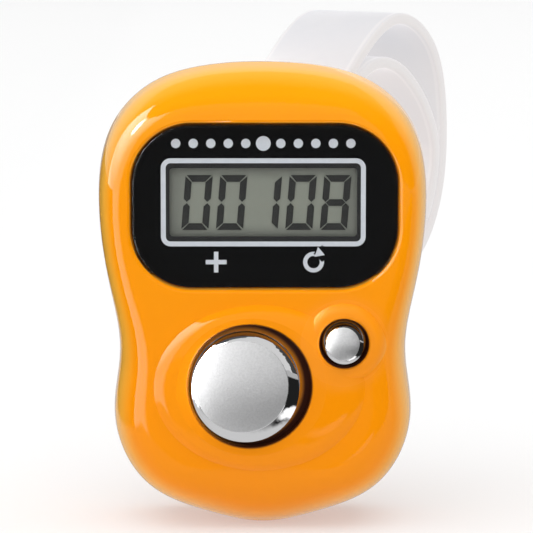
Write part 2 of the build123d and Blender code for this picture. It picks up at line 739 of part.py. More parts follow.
# Two screws that hold the board
with BuildPart() as board_screws:
    with BuildSketch(depth(BOARD_BACK + 0.6)):
        with Locations(*BOARD_SCREWS):
            Circle(0.95)
    extrude(amount=0.6)
    with BuildSketch(depth(BOARD_BACK)):
        with Locations(*BOARD_SCREWS):
            Circle(0.4)
    extrude(amount=3.6)
    with BuildSketch(depth(BOARD_BACK + 0.3)):
        with Locations(*BOARD_SCREWS):
            Rectangle(1.3, 0.3)
            Rectangle(0.3, 1.3)
    extrude(amount=-1, mode=Mode.SUBTRACT)
board_screws.part.label = "board_screws"
export_step(board_screws.part, "parts/board_screws.step")

# Strap: the length held in the lug, the leaning finger loop, its inner tail and the stud that joins them
lean = radians(STRAP_LEAN)
STRAP_PLANE = Plane(origin=(0, SLOT_Y, 0), x_dir=(sin(lean), cos(lean), 0), z_dir=(cos(lean), -sin(lean), 0))
STUD_PLANE = Plane(origin=(0, SLOT_Y, STUD_Z), x_dir=(0, 0, 1), z_dir=(sin(lean), cos(lean), 0))

with BuildPart() as strap_run:
    with BuildSketch(Plane.XY.offset(LUG_LOW)):
        with Locations((0, SLOT_Y)):
            Rectangle(STRAP_W, STRAP_T)
    extrude(amount=LUG_HIGH - LUG_LOW)
strap_run.part.label = "strap_run"
export_step(strap_run.part, "parts/strap_run.step")

with BuildPart() as strap_loop:
    with BuildSketch(STRAP_PLANE):
        with BuildLine():
            Spline(
                (0, LUG_HIGH + 0.1),
                (2.5, 32.3),
                (8.6, 37.85),
                (14.2, 40.55),
                (19.6, 37.9),
                (21.6, 31.3),
                (20.45, 23.5),
                (17.0, 19.3),
                (11.0, 17.7),
                (2.4, 19.2),
                (0, LUG_LOW - 0.1),
                tangents=[(0, 1), (0, 1)],
            )
        trace(line_width=STRAP_T)
    extrude(amount=STRAP_W / 2, both=True)
    with BuildSketch(STUD_PLANE):
        Circle(1.0)
    extrude(amount=30, mode=Mode.SUBTRACT)
strap_loop.part.label = "strap_loop"
export_step(strap_loop.part, "parts/strap_loop.step")

with BuildPart() as strap_tail:
    with BuildSketch(STRAP_PLANE):
        with BuildLine():
            Spline(
                (6.45, 34.2),
                (9.2, 36.35),
                (12.4, 36.8),
                (16.6, 34.75),
                (19.35, 31.6),
                (20.4, 28.6),
                (20.05, 26.0),
                (19.3, 23.9),
                (18.6, 22.6),
            )
        trace(line_width=STRAP_T)
    extrude(amount=STRAP_W / 2, both=True)
    with BuildSketch(STUD_PLANE):
        Circle(1.0)
    extrude(amount=30, mode=Mode.SUBTRACT)
strap_tail.part.label = "strap_tail"
export_step(strap_tail.part, "parts/strap_tail.step")

with BuildPart() as strap_stud:
    with BuildSketch(STUD_PLANE.offset(19.1)):
        Circle(1.2)
    extrude(amount=0.5)
    with BuildSketch(STUD_PLANE.offset(19.4)):
        Circle(0.97)
    extrude(amount=2.9)
    with BuildSketch(STUD_PLANE.offset(22.15)):
        Circle(1.6)
    extrude(amount=0.5)
    fillet(strap_stud.edges().filter_by(GeomType.CIRCLE).sort_by(SortBy.RADIUS)[-2:], radius=0.2)
strap_stud.part.label = "strap_stud"
export_step(strap_stud.part, "parts/strap_stud.step")
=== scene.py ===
"""Looks of the digital tasbih counter: finishes on its nodes, soft strap and domes, studio light, camera.

Metres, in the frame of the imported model: X across, Y to the back, Z up, the display facing -Y.
"""

import json
import math
from collections import namedtuple

import bmesh
import bpy
import numpy as np
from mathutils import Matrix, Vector


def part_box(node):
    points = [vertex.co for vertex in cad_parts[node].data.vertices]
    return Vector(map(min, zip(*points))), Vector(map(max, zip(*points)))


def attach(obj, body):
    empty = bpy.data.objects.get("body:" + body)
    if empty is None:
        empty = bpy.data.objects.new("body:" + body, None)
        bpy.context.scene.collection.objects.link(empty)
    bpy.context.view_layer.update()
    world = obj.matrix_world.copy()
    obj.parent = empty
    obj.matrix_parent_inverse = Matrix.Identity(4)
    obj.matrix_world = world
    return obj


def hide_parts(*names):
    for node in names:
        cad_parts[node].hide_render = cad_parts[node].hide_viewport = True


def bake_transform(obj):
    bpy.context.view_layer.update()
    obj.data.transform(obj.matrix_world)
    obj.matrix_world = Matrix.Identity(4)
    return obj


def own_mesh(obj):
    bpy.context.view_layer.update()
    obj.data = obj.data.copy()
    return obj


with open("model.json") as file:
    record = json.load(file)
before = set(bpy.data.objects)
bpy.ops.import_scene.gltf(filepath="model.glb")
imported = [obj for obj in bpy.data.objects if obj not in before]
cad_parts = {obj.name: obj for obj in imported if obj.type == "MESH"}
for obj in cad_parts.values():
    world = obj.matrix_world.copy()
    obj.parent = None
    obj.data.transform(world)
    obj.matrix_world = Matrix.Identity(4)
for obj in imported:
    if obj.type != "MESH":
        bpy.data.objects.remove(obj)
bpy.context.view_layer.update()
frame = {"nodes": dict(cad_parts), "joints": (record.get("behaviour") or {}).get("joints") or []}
MM = 0.001

# Middle of the display, and half the width and height of its film and of the space inside the white frame
DISPLAY_X, DISPLAY_Z = 0.06 * MM, 27.14 * MM
FILM_W, FILM_H = 7.63 * MM, 2.8 * MM
FRAME_W, FRAME_H = 7.98 * MM, 3.25 * MM

# Wells in the front, in millimetres: the opening, the key in it, and how far from the key the painted shade
# is full;
# the plastic is rubbed matt round a well whose radius is under SMALL_WELL
Well = namedtuple("Well", "x z radius key_x key_z key_radius fade")
COUNT_WELL = Well(-1.04, 12.26, 5.2, -1.39, 12.2, 4.37, 0.55)
RESET_WELL = Well(6.63, 15.76, 2.1, 6.63, 15.76, 1.57, 0.25)
SMALL_WELL = 3.0
WELL_MOUTH = -10 * MM

# Satin faces of the keys mirror the room as if they leaned a little to the left and up
FACE_LEAN = (-0.028, 0, 0.09)

# Strap, in millimetres: its section, its lean to the side, the slot it passes, and where its necks end
STRAP_W, STRAP_T = 9.5, 1.0
STRAP_LEAN = math.radians(35.0)
SLOT_Y = 6.9
LUG_LOW, LUG_HIGH = 22.4, 28.6
TWIST_REACH = 5.0

# Routes of the loop and of its inner tail, in millimetres: distance out from the lug, and height
LOOP = [
    (0, LUG_HIGH),
    (2.5, 32.3),
    (8.6, 37.85),
    (14.2, 40.55),
    (19.6, 37.9),
    (21.6, 31.3),
    (20.45, 23.5),
    (17.0, 19.3),
    (11.0, 17.7),
    (2.4, 19.2),
    (0, LUG_LOW),
]
TAIL = [
    (6.45, 34.2),
    (9.2, 36.35),
    (12.4, 36.8),
    (16.6, 34.75),
    (19.35, 31.6),
    (20.4, 28.6),
    (20.05, 26.0),
    (19.3, 23.9),
    (18.6, 22.6),
]

# Colours of finishes that several pieces share: the plain one, then the deeper one
SILICONE = (0.5, 0.5, 0.51), (0.42, 0.42, 0.43)
CARBON = (0.02, 0.02, 0.02), (0.012, 0.012, 0.012)
BRASS = (0.84, 0.66, 0.34), (0.74, 0.56, 0.26)
SCREW_STEEL = (0.62, 0.62, 0.63), (0.5, 0.5, 0.51)
WHITE_INK = (0.9, 0.94, 1.0), (0.84, 0.88, 0.95)

# Single colours that a finish turns to in some places: painted shade in a well, darker deep in a screw's
# cross, painted sheen at a glancing edge
PAINTED_SHADE_IN_WELL = (0.04, 0.004, 0)
DARK_DEEP_IN_CROSS = (0.04, 0.037, 0.035)
PAINTED_EDGE_SHEEN = (1, 0.7, 0.12)

# Camera of the photo: rise, distance, the point looked at, and focal length in pixels of its square image
CAMERA_RISE = math.radians(7.5)
CAMERA_FAR = 0.3
TARGET = Vector((0.32, 0, 20.8)) * MM
FOCAL_PX, IMAGE_PX = 3582, 533
SENSOR = 36.0

# Studio: the middle that lights and cards surround, the cards' distance, and the brightest spot on the left
STUDIO_MIDDLE = Vector((0, 0, 0.02))
CARD_FAR = 1.4
CORE_TURN, CORE_RISE = 86, 42
HOT_SPREAD, CORE_SPREAD = math.radians(45), math.radians(9)


class Shade:
    """A socket of a material's node tree, so that shader maths reads as plain sums."""

    def __init__(self, tree, socket=None):
        self.tree = tree
        self.socket = socket

    def node(self, kind, settings=None, inputs=None, output=0):
        """Adds a node, makes its settings, then fills its sockets with values or links."""
        made = self.tree.nodes.new("ShaderNode" + kind)
        for name, value in (settings or {}).items():
            setattr(made, name, value)
        for name, value in (inputs or {}).items():
            if isinstance(value, Shade):
                self.tree.links.new(value.socket, made.inputs[name])
            else:
                made.inputs[name].default_value = value
        return Shade(self.tree, made.outputs[output])

    def maths(self, operation, first, second=0.0):
        return self.node("Math", {"operation": operation}, {0: first, 1: second})

    def __add__(self, other):
        return self.maths("ADD", self, other)

    def __radd__(self, other):
        return self.maths("ADD", other, self)

    def __sub__(self, other):
        return self.maths("SUBTRACT", self, other)

    def __rsub__(self, other):
        return self.maths("SUBTRACT", other, self)

    def __mul__(self, other):
        return self.maths("MULTIPLY", self, other)

    def __truediv__(self, other):
        return self.maths("DIVIDE", self, other)

    def __pow__(self, other):
        return self.maths("POWER", self, other)

    def __abs__(self):
        return self.maths("ABSOLUTE", self)

    def ease(self, low, high):
        """0 below low, 1 above high, smooth between."""
        settings = {"interpolation_type": "SMOOTHSTEP"}
        return self.node("MapRange", settings, {"Value": self, "From Min": low, "From Max": high})


def parts_of(shade, vector):
    """The three values of a vector."""
    split = shade.node("SeparateXYZ", None, {0: vector})
    return [Shade(shade.tree, value) for value in split.socket.node.outputs]


def place(shade):
    """The point on the piece, in metres, whole and as three values."""
    point = shade.node("TexCoord", output="Object")
    return point, parts_of(shade, point)


def grain(shade, point, scale, detail=3.0, rough=0.55):
    """Fine noise over the piece, around a half."""
    inputs = {"Vector": point, "Scale": scale, "Detail": detail, "Roughness": rough}
    return shade.node("TexNoise", None, inputs)


def distance(across, up):
    """Length of the step across and up."""
    return (across * across + up * up) ** 0.5


def opaque(colour):
    """A colour as a socket takes it; a link stays as it is."""
    return colour if isinstance(colour, Shade) else (*colour, 1.0)


def tint(shade, share, first, second):
    """Colour between two, by a share."""
    inputs = {"Factor": share, 6: opaque(first), 7: opaque(second)}
    return shade.node("Mix", {"data_type": "RGBA"}, inputs, 2)


def grey(shade, value):
    """Neutral colour of a varying brightness."""
    return shade.node("CombineColor", None, {0: value, 1: value, 2: value})


def bump(shade, height, depth, strength):
    """Normal from a height value; depth is in metres."""
    return shade.node("Bump", None, {"Height": height, "Distance": depth, "Strength": strength})


def material(name, **sockets):
    """New material with one principled shader, values set on its sockets; gives its tree and shader too."""
    made = bpy.data.materials.new(name)
    made.use_nodes = True
    shader = made.node_tree.nodes["Principled BSDF"]
    for socket, value in sockets.items():
        shader.inputs[socket.replace("_", " ")].default_value = value
    return made, Shade(made.node_tree), shader


def feed(shade, shader, **sockets):
    """Links varying values to the shader's sockets."""
    for socket, value in sockets.items():
        shade.tree.links.new(value.socket, shader.inputs[socket.replace("_", " ")])


def moulded_plastic(name, colour, deep, roughness, peel=1.0, gloss=0.4, rim=0.0, wells=(), back_matt=0.0):
    """Moulded plastic: flow marks, orange peel and haze; painted shade toward the bottom and in wells,
    painted sheen at glancing edges, rubbed matt round a small well.
    """
    made, shade, shader = material(name, Specular_IOR_Level=gloss)
    point, (x, y, z) = place(shade)
    flow = grain(shade, point, 90.0, 2.0)
    haze = grain(shade, point, 420.0, 4.0)
    peeling = grain(shade, point, 900.0, 1.0)
    # Flow marks at random, and painted shade: the colour deepens toward the bottom, below 36 mm
    base = tint(shade, flow * 0.3 + z.ease(4 * MM, 36 * MM) * 0.7, deep, colour)
    # Painted sheen: at glancing edges the colour turns pale yellow, by the share given in rim
    glance = shade.node("LayerWeight", None, {"Blend": 0.5}, 1).ease(0.35, 0.95)
    base = tint(shade, glance * rim, base, PAINTED_EDGE_SHEEN)
    matt = roughness - 0.02 + haze * 0.04 + y.ease(1.8 * MM, 3.2 * MM) * back_matt
    for well in wells:
        from_well = distance(x - well.x * MM, z - well.z * MM)
        if well.radius < SMALL_WELL:
            rubbed = 1 - from_well.ease((well.radius + 1.0) * MM, (well.radius + 2.4) * MM)
            matt = matt + rubbed * 0.3
        # Painted shade: inside the well and away from its key the plastic turns near black, and matt
        inside = 1 - from_well.ease((well.radius - 0.1) * MM, well.radius * MM)
        sunk = (y - WELL_MOUTH).ease(-0.05 * MM, 0.15 * MM)
        off_key = distance(x - well.key_x * MM, z - well.key_z * MM) - well.key_radius * MM
        painted_well_shade = inside * sunk * off_key.ease(0.05 * MM, well.fade * MM)
        base = tint(shade, painted_well_shade * 0.99, base, PAINTED_SHADE_IN_WELL)
        matt = matt + painted_well_shade * 0.6
    feed(
        shade,
        shader,
        Base_Color=base,
        Roughness=matt,
        Normal=bump(shade, peeling, 0.00001 * peel, 0.2),
    )
    return made


def window_clear():
    """Lightly smoked clear window: a faint gloss over it grows at a glance and along its bevel."""
    made, shade, shader = material("window_clear")
    tree = made.node_tree
    point, _ = place(shade)
    smudge = grain(shade, point, 160.0).ease(0.35, 0.75)
    clear = shade.node("BsdfTransparent", None, {"Color": (0.915, 0.92, 0.92, 1)})
    gloss = shade.node("BsdfAnisotropic", {"distribution": "GGX"}, {"Roughness": 0.03 + smudge * 0.02})
    _, facing, _ = parts_of(shade, shade.node("NewGeometry", output="Normal"))
    bevel = 1 - abs(facing).ease(0.5, 0.97)
    glance = shade.node("LayerWeight", None, {"Blend": 0.5}, 1)
    shine = 0.0098 + glance**5 * 0.99 + bevel * 0.06
    mixed = shade.node("MixShader", None, {0: shine, 1: clear, 2: gloss})
    tree.links.new(mixed.socket, tree.nodes["Material Output"].inputs["Surface"])
    tree.nodes.remove(shader)
    return made


def printed_ink(name, colour, edge):
    """Screen-printed ink: tiny pinholes and an uneven film."""
    made, shade, shader = material(name, Specular_IOR_Level=0.0)
    point, _ = place(shade)
    film = grain(shade, point, 1500.0, 4.0)
    feed(
        shade,
        shader,
        Base_Color=tint(shade, film.ease(0.25, 0.75), edge, colour),
        Roughness=0.5 + film * 0.1,
        Normal=bump(shade, film, 0.000004, 0.4),
    )
    return made


def window_print():
    """Black print behind the window, greyer in the strip between the white frame and the display."""
    made, shade, shader = material("print_black", Specular_IOR_Level=0.0)
    point, (x, _, z) = place(shade)
    in_width = (FRAME_W - abs(x - DISPLAY_X)).ease(0, 0.06 * MM)
    in_height = (FRAME_H - abs(z - DISPLAY_Z)).ease(0, 0.06 * MM)
    film = grain(shade, point, 1500.0, 4.0)
    feed(
        shade,
        shader,
        Base_Color=tint(shade, in_width * in_height, (0.0045, 0.0045, 0.005), (0.042, 0.042, 0.043)),
        Roughness=0.4 + film * 0.1,
        Normal=bump(shade, film, 0.000004, 0.4),
    )
    return made


def display_film():
    """Grey-green polarizing film, with painted shade darkening it toward its edges."""
    made, shade, shader = material("lcd_film", Specular_IOR_Level=0.1)
    point, (x, _, z) = place(shade)
    across = abs(x - DISPLAY_X) / FILM_W
    up = abs(z - DISPLAY_Z) / FILM_H
    # Painted shade: the film darkens toward its edges
    edge = shade.maths("MAXIMUM", across.ease(0.72, 1.02), up.ease(0.6, 1.05))
    weave = grain(shade, point, 2600.0, 2.0)
    feed(
        shade,
        shader,
        Base_Color=tint(shade, edge * 0.8 + weave * 0.12, (0.35, 0.365, 0.31), (0.24, 0.246, 0.218)),
        Roughness=0.42 + weave * 0.1,
        Normal=bump(shade, weave, 0.000003, 0.3),
    )
    return made


def plated_key(name, x_mm, z_mm, face_mm, rim_mm):
    """Plated key: satin blasted face out to face_mm from its middle, polished rim from rim_mm on."""
    made, shade, shader = material(name, Metallic=1.0)
    point, (x, _, z) = place(shade)
    polished = distance(x - x_mm * MM, z - z_mm * MM).ease(face_mm * MM, rim_mm * MM)
    fine = grain(shade, point, 5500.0, 3.0, 0.7)
    grit = fine.ease(0.3, 0.7) * (1 - polished) * 0.7
    leans = {"Factor": polished, 4: FACE_LEAN, 5: (0, 0, 0)}
    lean = shade.node("Mix", {"data_type": "VECTOR"}, leans, 1)
    normal = shade.node("NewGeometry", output="Normal")
    leaning = shade.node("VectorMath", {"operation": "ADD"}, {0: normal, 1: lean})
    blasted = {"Height": fine * (1 - polished), "Distance": 0.00003, "Strength": 0.5, "Normal": leaning}
    feed(
        shade,
        shader,
        Base_Color=tint(shade, polished * 0.4 + grit, (0.7, 0.7, 0.705), (0.58, 0.58, 0.585)),
        Roughness=0.27 + fine * 0.12 - polished * 0.31,
        Normal=shade.node("Bump", None, blasted),
    )
    return made


def milky_strap(name, bordered):
    """Soft translucent band with a painted glow in place of the light through it: cloudy, cooler at its top,
    pale painted borders.
    """
    made, shade, shader = material(name, Specular_IOR_Level=0.3, Emission_Strength=1.0)
    point, (_, _, z) = place(shade)
    cloud = grain(shade, point, 160.0)
    skin = grain(shade, point, 1800.0, 2.0)
    # Painted glow: the emission stands in for light through the band; it is warmer lower down and paler
    # along the borders
    warm = cloud * 0.5 + (40 * MM - z).ease(0, 5 * MM) * 0.5
    glow = tint(shade, warm, (0.465, 0.47, 0.5), (0.56, 0.535, 0.53))
    if bordered:
        across, _, _ = parts_of(shade, shade.node("TexCoord", output="UV"))
        out = abs(across - 0.5) * 2.0
        line = out.ease(0.86, 0.91) * (1 - out.ease(0.92, 0.97))
        glow = tint(shade, line * 0.5, glow, (0.62, 0.6, 0.59))
        glow = tint(shade, out.ease(0.95, 0.99), glow, (0.575, 0.555, 0.55))
    feed(
        shade,
        shader,
        Base_Color=tint(shade, cloud, (0.2, 0.2, 0.205), (0.24, 0.235, 0.235)),
        Emission_Color=glow,
        Roughness=0.26 + skin * 0.12,
        Normal=bump(shade, skin, 0.00001, 0.3),
    )
    return made


def plain_metal(name, colour, dark, roughness, driven=None):
    """Plated sheet or turned metal with a drawn grain; driven names screws whose crosses turn darker with
    depth.
    """
    made, shade, shader = material(name, Metallic=1.0)
    point, (x, y, z) = place(shade)
    stretched = shade.node("CombineXYZ", None, {0: x * 6.0, 1: y, 2: z})
    drawn = grain(shade, stretched, 1400.0, 4.0)
    base = tint(shade, drawn, dark, colour)
    # A screw turns near black deeper than its head's top
    if driven:
        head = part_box(driven)[1].y
        base = tint(shade, (head - y).ease(0.05 * MM, 0.35 * MM), base, DARK_DEEP_IN_CROSS)
    feed(
        shade,
        shader,
        Base_Color=base,
        Roughness=roughness + drawn * 0.12,
        Normal=bump(shade, drawn, 0.000004, 0.4),
    )
    return made


def soft_rubber(name, colour, deep):
    """Matt silicone or rubber with a fine bloom."""
    made, shade, shader = material(name, IOR=1.41)
    point, _ = place(shade)
    bloom = grain(shade, point, 700.0, 4.0)
    feed(
        shade,
        shader,
        Base_Color=tint(shade, bloom, deep, colour),
        Roughness=0.55 + bloom * 0.2,
        Normal=bump(shade, bloom, 0.00001, 0.3),
    )
    return made


def layered_strip():
    """Contact strip: thin dark layers in pale rubber, one pair each 0.3 mm."""
    made, shade, shader = material("strip_rubber", IOR=1.41, Roughness=0.6)
    _, (x, _, _) = place(shade)
    layers = shade.maths("SINE", x * (math.tau / (0.3 * MM))).ease(-0.2, 0.2)
    feed(shade, shader, Base_Color=tint(shade, layers, (0.02, 0.02, 0.02), (0.5, 0.42, 0.4)))
    return made


def board_laminate():
    """Green coated board with a faint copper pattern under the coat."""
    made, shade, shader = material("board_green", IOR=1.5)
    point, (x, _, z) = place(shade)
    waves = shade.maths("SINE", x * 5200.0) + shade.maths("SINE", z * 4100.0)
    copper = waves.ease(0.7, 0.9)
    weave = grain(shade, point, 1600.0)
    feed(
        shade,
        shader,
        Base_Color=tint(shade, copper * 0.5 + weave * 0.2, (0.015, 0.12, 0.045), (0.06, 0.26, 0.1)),
        Roughness=0.34 + weave * 0.16,
        Normal=bump(shade, copper, 0.00002, 0.5),
    )
    return made


def display_glass():
    """Thin glass of the display, slightly green."""
    made, shade, shader = material("lcd_glass", IOR=1.5, Transmission_Weight=0.85)
    point, _ = place(shade)
    streak = grain(shade, point, 300.0)
    feed(
        shade,
        shader,
        Base_Color=tint(shade, streak, (0.72, 0.8, 0.76), (0.8, 0.86, 0.83)),
        Roughness=0.04 + streak * 0.04,
    )
    return made


CASE_ORANGE = moulded_plastic(
    "case_orange",
    (0.98, 0.335, 0.002),
    (0.95, 0.285, 0.002),
    0.05,
    gloss=0.2,
    rim=0.5,
    wells=(COUNT_WELL, RESET_WELL),
    back_matt=0.35,
)
CAP_ORANGE = moulded_plastic(
    "cap_orange", (0.96, 0.295, 0.002), (0.93, 0.28, 0.002), 0.38, peel=2.0, gloss=0.2, rim=0.4
)
RESIN_BLACK = moulded_plastic("resin_black", (0.012, 0.012, 0.012), (0.007, 0.007, 0.007), 0.22, peel=4.0)
MILKY = milky_strap("strap_milky", True)

finishes = {
    "front_shell": CASE_ORANGE,
    "back_shell": CASE_ORANGE,
    "battery_cap": CAP_ORANGE,
    "window_lens": window_clear(),
    "window_mask": window_print(),
    "window_frame_line": printed_ink("print_white", *WHITE_INK),
    "window_marks": printed_ink("mark_white", *WHITE_INK),
    "lcd_segments": printed_ink("lcd_segment", (0.05, 0.05, 0.049), (0.06, 0.06, 0.058)),
    "lcd_polarizer": display_film(),
    "lcd_front_glass": display_glass(),
    "lcd_rear_glass": display_glass(),
    "lcd_reflector": plain_metal("lcd_mirror", (0.62, 0.63, 0.6), (0.52, 0.53, 0.5), 0.4),
    "lcd_holder": moulded_plastic("holder_white", (0.7, 0.7, 0.68), (0.64, 0.64, 0.62), 0.45),
    "contact_strip": layered_strip(),
    "circuit_board": board_laminate(),
    "key_pads": plain_metal("pad_gold", (0.9, 0.68, 0.3), (0.78, 0.56, 0.22), 0.25),
    "chip_drop": RESIN_BLACK,
    "board_components": moulded_plastic("component_tan", (0.36, 0.24, 0.13), (0.28, 0.18, 0.1), 0.5),
    "keypad_mat": soft_rubber("silicone_grey", *SILICONE),
    "count_button": plated_key("count_plated", -1.66, 12.42, 3.72, 3.8),
    "count_plunger": soft_rubber("plunger_grey", *SILICONE),
    "count_pill": soft_rubber("carbon_black", *CARBON),
    "reset_button": plated_key("reset_plated", 6.53, 15.88, 1.32, 1.37),
    "reset_plunger": soft_rubber("small_plunger_grey", *SILICONE),
    "reset_pill": soft_rubber("small_carbon_black", *CARBON),
    "cell_can": plain_metal("cell_steel", (0.72, 0.72, 0.72), (0.62, 0.62, 0.62), 0.24),
    "cell_seal": moulded_plastic("seal_black", (0.03, 0.03, 0.03), (0.02, 0.02, 0.02), 0.4),
    "cell_cover": plain_metal("cover_steel", (0.74, 0.74, 0.74), (0.66, 0.66, 0.66), 0.2),
    "negative_contact": plain_metal("spring_brass", *BRASS, 0.24),
    "positive_contact": plain_metal("side_brass", *BRASS, 0.24),
    "case_screws": plain_metal("screw_steel", *SCREW_STEEL, 0.28, "case_screws"),
    "board_screws": plain_metal("small_screw_steel", *SCREW_STEEL, 0.28, "board_screws"),
    "strap_stud": milky_strap("stud_milky", False),
}
for node, finish in finishes.items():
    slots = frame["nodes"][node].data.materials
    slots.clear()
    slots.append(finish)


def placed(name, data, finish):
    """New object of a mesh with its finish, in the scene."""
    data.materials.append(finish)
    made = bpy.data.objects.new(name, data)
    bpy.context.scene.collection.objects.link(made)
    return made


def cubic_line(points, start, end, count):
    """Even points and directions along the smooth line through the given points, with set end directions."""
    p = np.array(points, float)
    knots = np.concatenate([[0], np.cumsum(np.linalg.norm(np.diff(p, axis=0), axis=1))])
    n = len(p)
    h = np.diff(knots)
    system = np.zeros((n, n))
    wanted = np.zeros((n, 2))
    system[0, 0] = system[-1, -1] = 1
    wanted[0], wanted[-1] = start, end
    for i in range(1, n - 1):
        system[i, i - 1 : i + 2] = 1 / h[i - 1], 2 / h[i - 1] + 2 / h[i], 1 / h[i]
        wanted[i] = 3 * ((p[i] - p[i - 1]) / h[i - 1] ** 2 + (p[i + 1] - p[i]) / h[i] ** 2)
    slope = np.linalg.solve(system, wanted)
    fine = np.linspace(0, knots[-1], 1500)
    k = np.clip(np.searchsorted(knots, fine, "right") - 1, 0, n - 2)
    t = ((fine - knots[k]) / h[k])[:, None]
    step = h[k][:, None]
    line = (2 * t**3 - 3 * t**2 + 1) * p[k] + (t**3 - 2 * t**2 + t) * step * slope[k]
    line += (3 * t**2 - 2 * t**3) * p[k + 1] + (t**3 - t**2) * step * slope[k + 1]
    along = np.concatenate([[0], np.cumsum(np.linalg.norm(np.diff(line, axis=0), axis=1))])
    even = np.linspace(0, along[-1], count)
    out = np.stack([np.interp(even, along, line[:, i]) for i in (0, 1)], axis=1)
    ways = np.gradient(out, axis=0)
    return out, ways / np.linalg.norm(ways, axis=1, keepdims=True), even


def band_section():
    """Edge of the band's cross-section, across then through, with softly rounded corners."""
    w, t, r = STRAP_W / 2, STRAP_T / 2, 0.3
    corners = (w - r, t - r, 0), (r - w, t - r, 90), (r - w, r - t, 180), (w - r, r - t, 270)
    edge = []
    for x, y, first in corners:
        for turn in (0, 30, 60, 90):
            a = math.radians(first + turn)
            edge.append((x + r * math.cos(a), y + r * math.sin(a)))
    return edge


def band(name, line, ways, leans, close_ends):
    """Flat band along a line given as distance from the lug and height; leans is its twist in each place."""
    mesh = bmesh.new()
    across_map = mesh.loops.layers.uv.new("across")
    section = band_section()
    out = Vector((math.sin(STRAP_LEAN), math.cos(STRAP_LEAN), 0))
    rings = []
    for (d, z), (wd, wz), lean in zip(line, ways, leans):
        side = Vector((math.cos(lean), -math.sin(lean), 0))
        centre = Vector((0, SLOT_Y, z)) + out * d
        through = (Vector((0, 0, 1)) * wd - out * wz).normalized()
        points = [centre + side * across + through * thick for across, thick in section]
        rings.append([mesh.verts.new(point * MM) for point in points])
    for first, second in zip(rings, rings[1:]):
        for i in range(len(first)):
            j = (i + 1) % len(first)
            face = mesh.faces.new((first[i], first[j], second[j], second[i]))
            for loop, corner in zip(face.loops, (i, j, j, i)):
                across, thick = section[corner]
                loop[across_map].uv = (0.5 + across / STRAP_W, 0.5 + thick / STRAP_T)
    if close_ends:
        mesh.faces.new(rings[0])
        mesh.faces.new(reversed(rings[-1]))
    bmesh.ops.recalc_face_normals(mesh, faces=mesh.faces)
    data = bpy.data.meshes.new(name)
    mesh.to_mesh(data)
    mesh.free()
    for face in data.polygons:
        face.use_smooth = True
    return placed(name, data, MILKY)


def twist(along, reach):
    """Lean of the band: none in the lug, full after the given reach."""
    t = np.clip(along / reach, 0, 1)
    return STRAP_LEAN * t * t * (3 - 2 * t)


def strap():
    """Strap: the run in the lug, two twisted necks, the finger loop and its inner tail."""
    rings, neck, tail_rings, run_rings = 241, 26, 110, 12
    upright = (0.0, 1.0)
    line, ways, along = cubic_line(LOOP, upright, upright, rings)
    leans = twist(np.minimum(along, along[-1] - along), TWIST_REACH)

    def stretch(name, first, last):
        return band(name, line[first:last], ways[first:last], leans[first:last], False)

    upper_neck = stretch("strap_upper_neck", 0, neck + 1)
    lower_neck = stretch("strap_lower_neck", rings - neck - 1, rings)
    loop_band = stretch("strap_band", neck, rings - neck)
    tail_start, tail_end = (0.75, 0.66), (-0.5, -0.87)
    tail_line, tail_ways, _ = cubic_line(TAIL, tail_start, tail_end, tail_rings)
    inner_tail = band("strap_inner_tail", tail_line, tail_ways, [STRAP_LEAN] * tail_rings, True)
    run_line = [(0, z) for z in np.linspace(LUG_LOW, LUG_HIGH, run_rings)]
    run = band("strap_in_lug", run_line, [upright] * run_rings, [0.0] * run_rings, False)

    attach(loop_band, "strap")
    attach(inner_tail, "strap")
    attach(run, "case")
    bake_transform(upper_neck)
    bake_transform(lower_neck)
    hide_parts("strap_loop")
    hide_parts("strap_tail")
    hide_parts("strap_run")


def collapsing_dome(name, node, joint, top, hole, wall):
    """Silicone dome turned about its key's line, fixed to the case."""
    low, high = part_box(node)
    clear, lip_depth, bow = 0.02 * MM, 0.5 * MM, 0.06
    foot, back = (high.x - low.x) / 2 - clear, high.y
    front, mat = low.y + clear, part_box("keypad_mat")[0].y
    lip = front + lip_depth
    up_wall = [(t, t + bow * math.sin(math.tau * t)) for t in np.linspace(0, 1, 9)]
    edge = [(foot, back)]
    edge += [(foot + (top - foot) * out, mat + (front - mat) * up) for out, up in up_wall]
    edge.append((hole, front))
    edge += [(hole + (foot - wall - hole) * out, lip + (mat - lip) * up) for out, up in up_wall]
    edge.append((foot - wall, back))
    middle_x, middle_z = (low.x + high.x) / 2, (low.z + high.z) / 2
    mesh = bmesh.new()
    turns = 64
    rings = []
    for i in range(turns):
        a = math.tau * i / turns
        points = [(middle_x + r * math.cos(a), y, middle_z + r * math.sin(a)) for r, y in edge]
        rings.append([mesh.verts.new(point) for point in points])
    for i, ring in enumerate(rings):
        after = rings[(i + 1) % turns]
        for j in range(len(edge)):
            k = (j + 1) % len(edge)
            mesh.faces.new((ring[j], ring[k], after[k], after[j]))
    bmesh.ops.recalc_face_normals(mesh, faces=mesh.faces)
    data = bpy.data.meshes.new(name)
    mesh.to_mesh(data)
    mesh.free()
    dome = placed(name, data, soft_rubber(name + "_grey", *SILICONE))
    travel = next(j["range_m"][1] for j in frame["joints"] if j["name"] == joint)
    kept_height = 1 - travel / (back - front)
    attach(dome, "case")
    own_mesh(dome)
    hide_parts(node)


strap()
collapsing_dome("count_spring_dome", "count_dome", "count_press", 3.3 * MM, 2.6 * MM, 0.6 * MM)
collapsing_dome("reset_spring_dome", "reset_dome", "reset_press", 1.5 * MM, 1.0 * MM, 0.5 * MM)


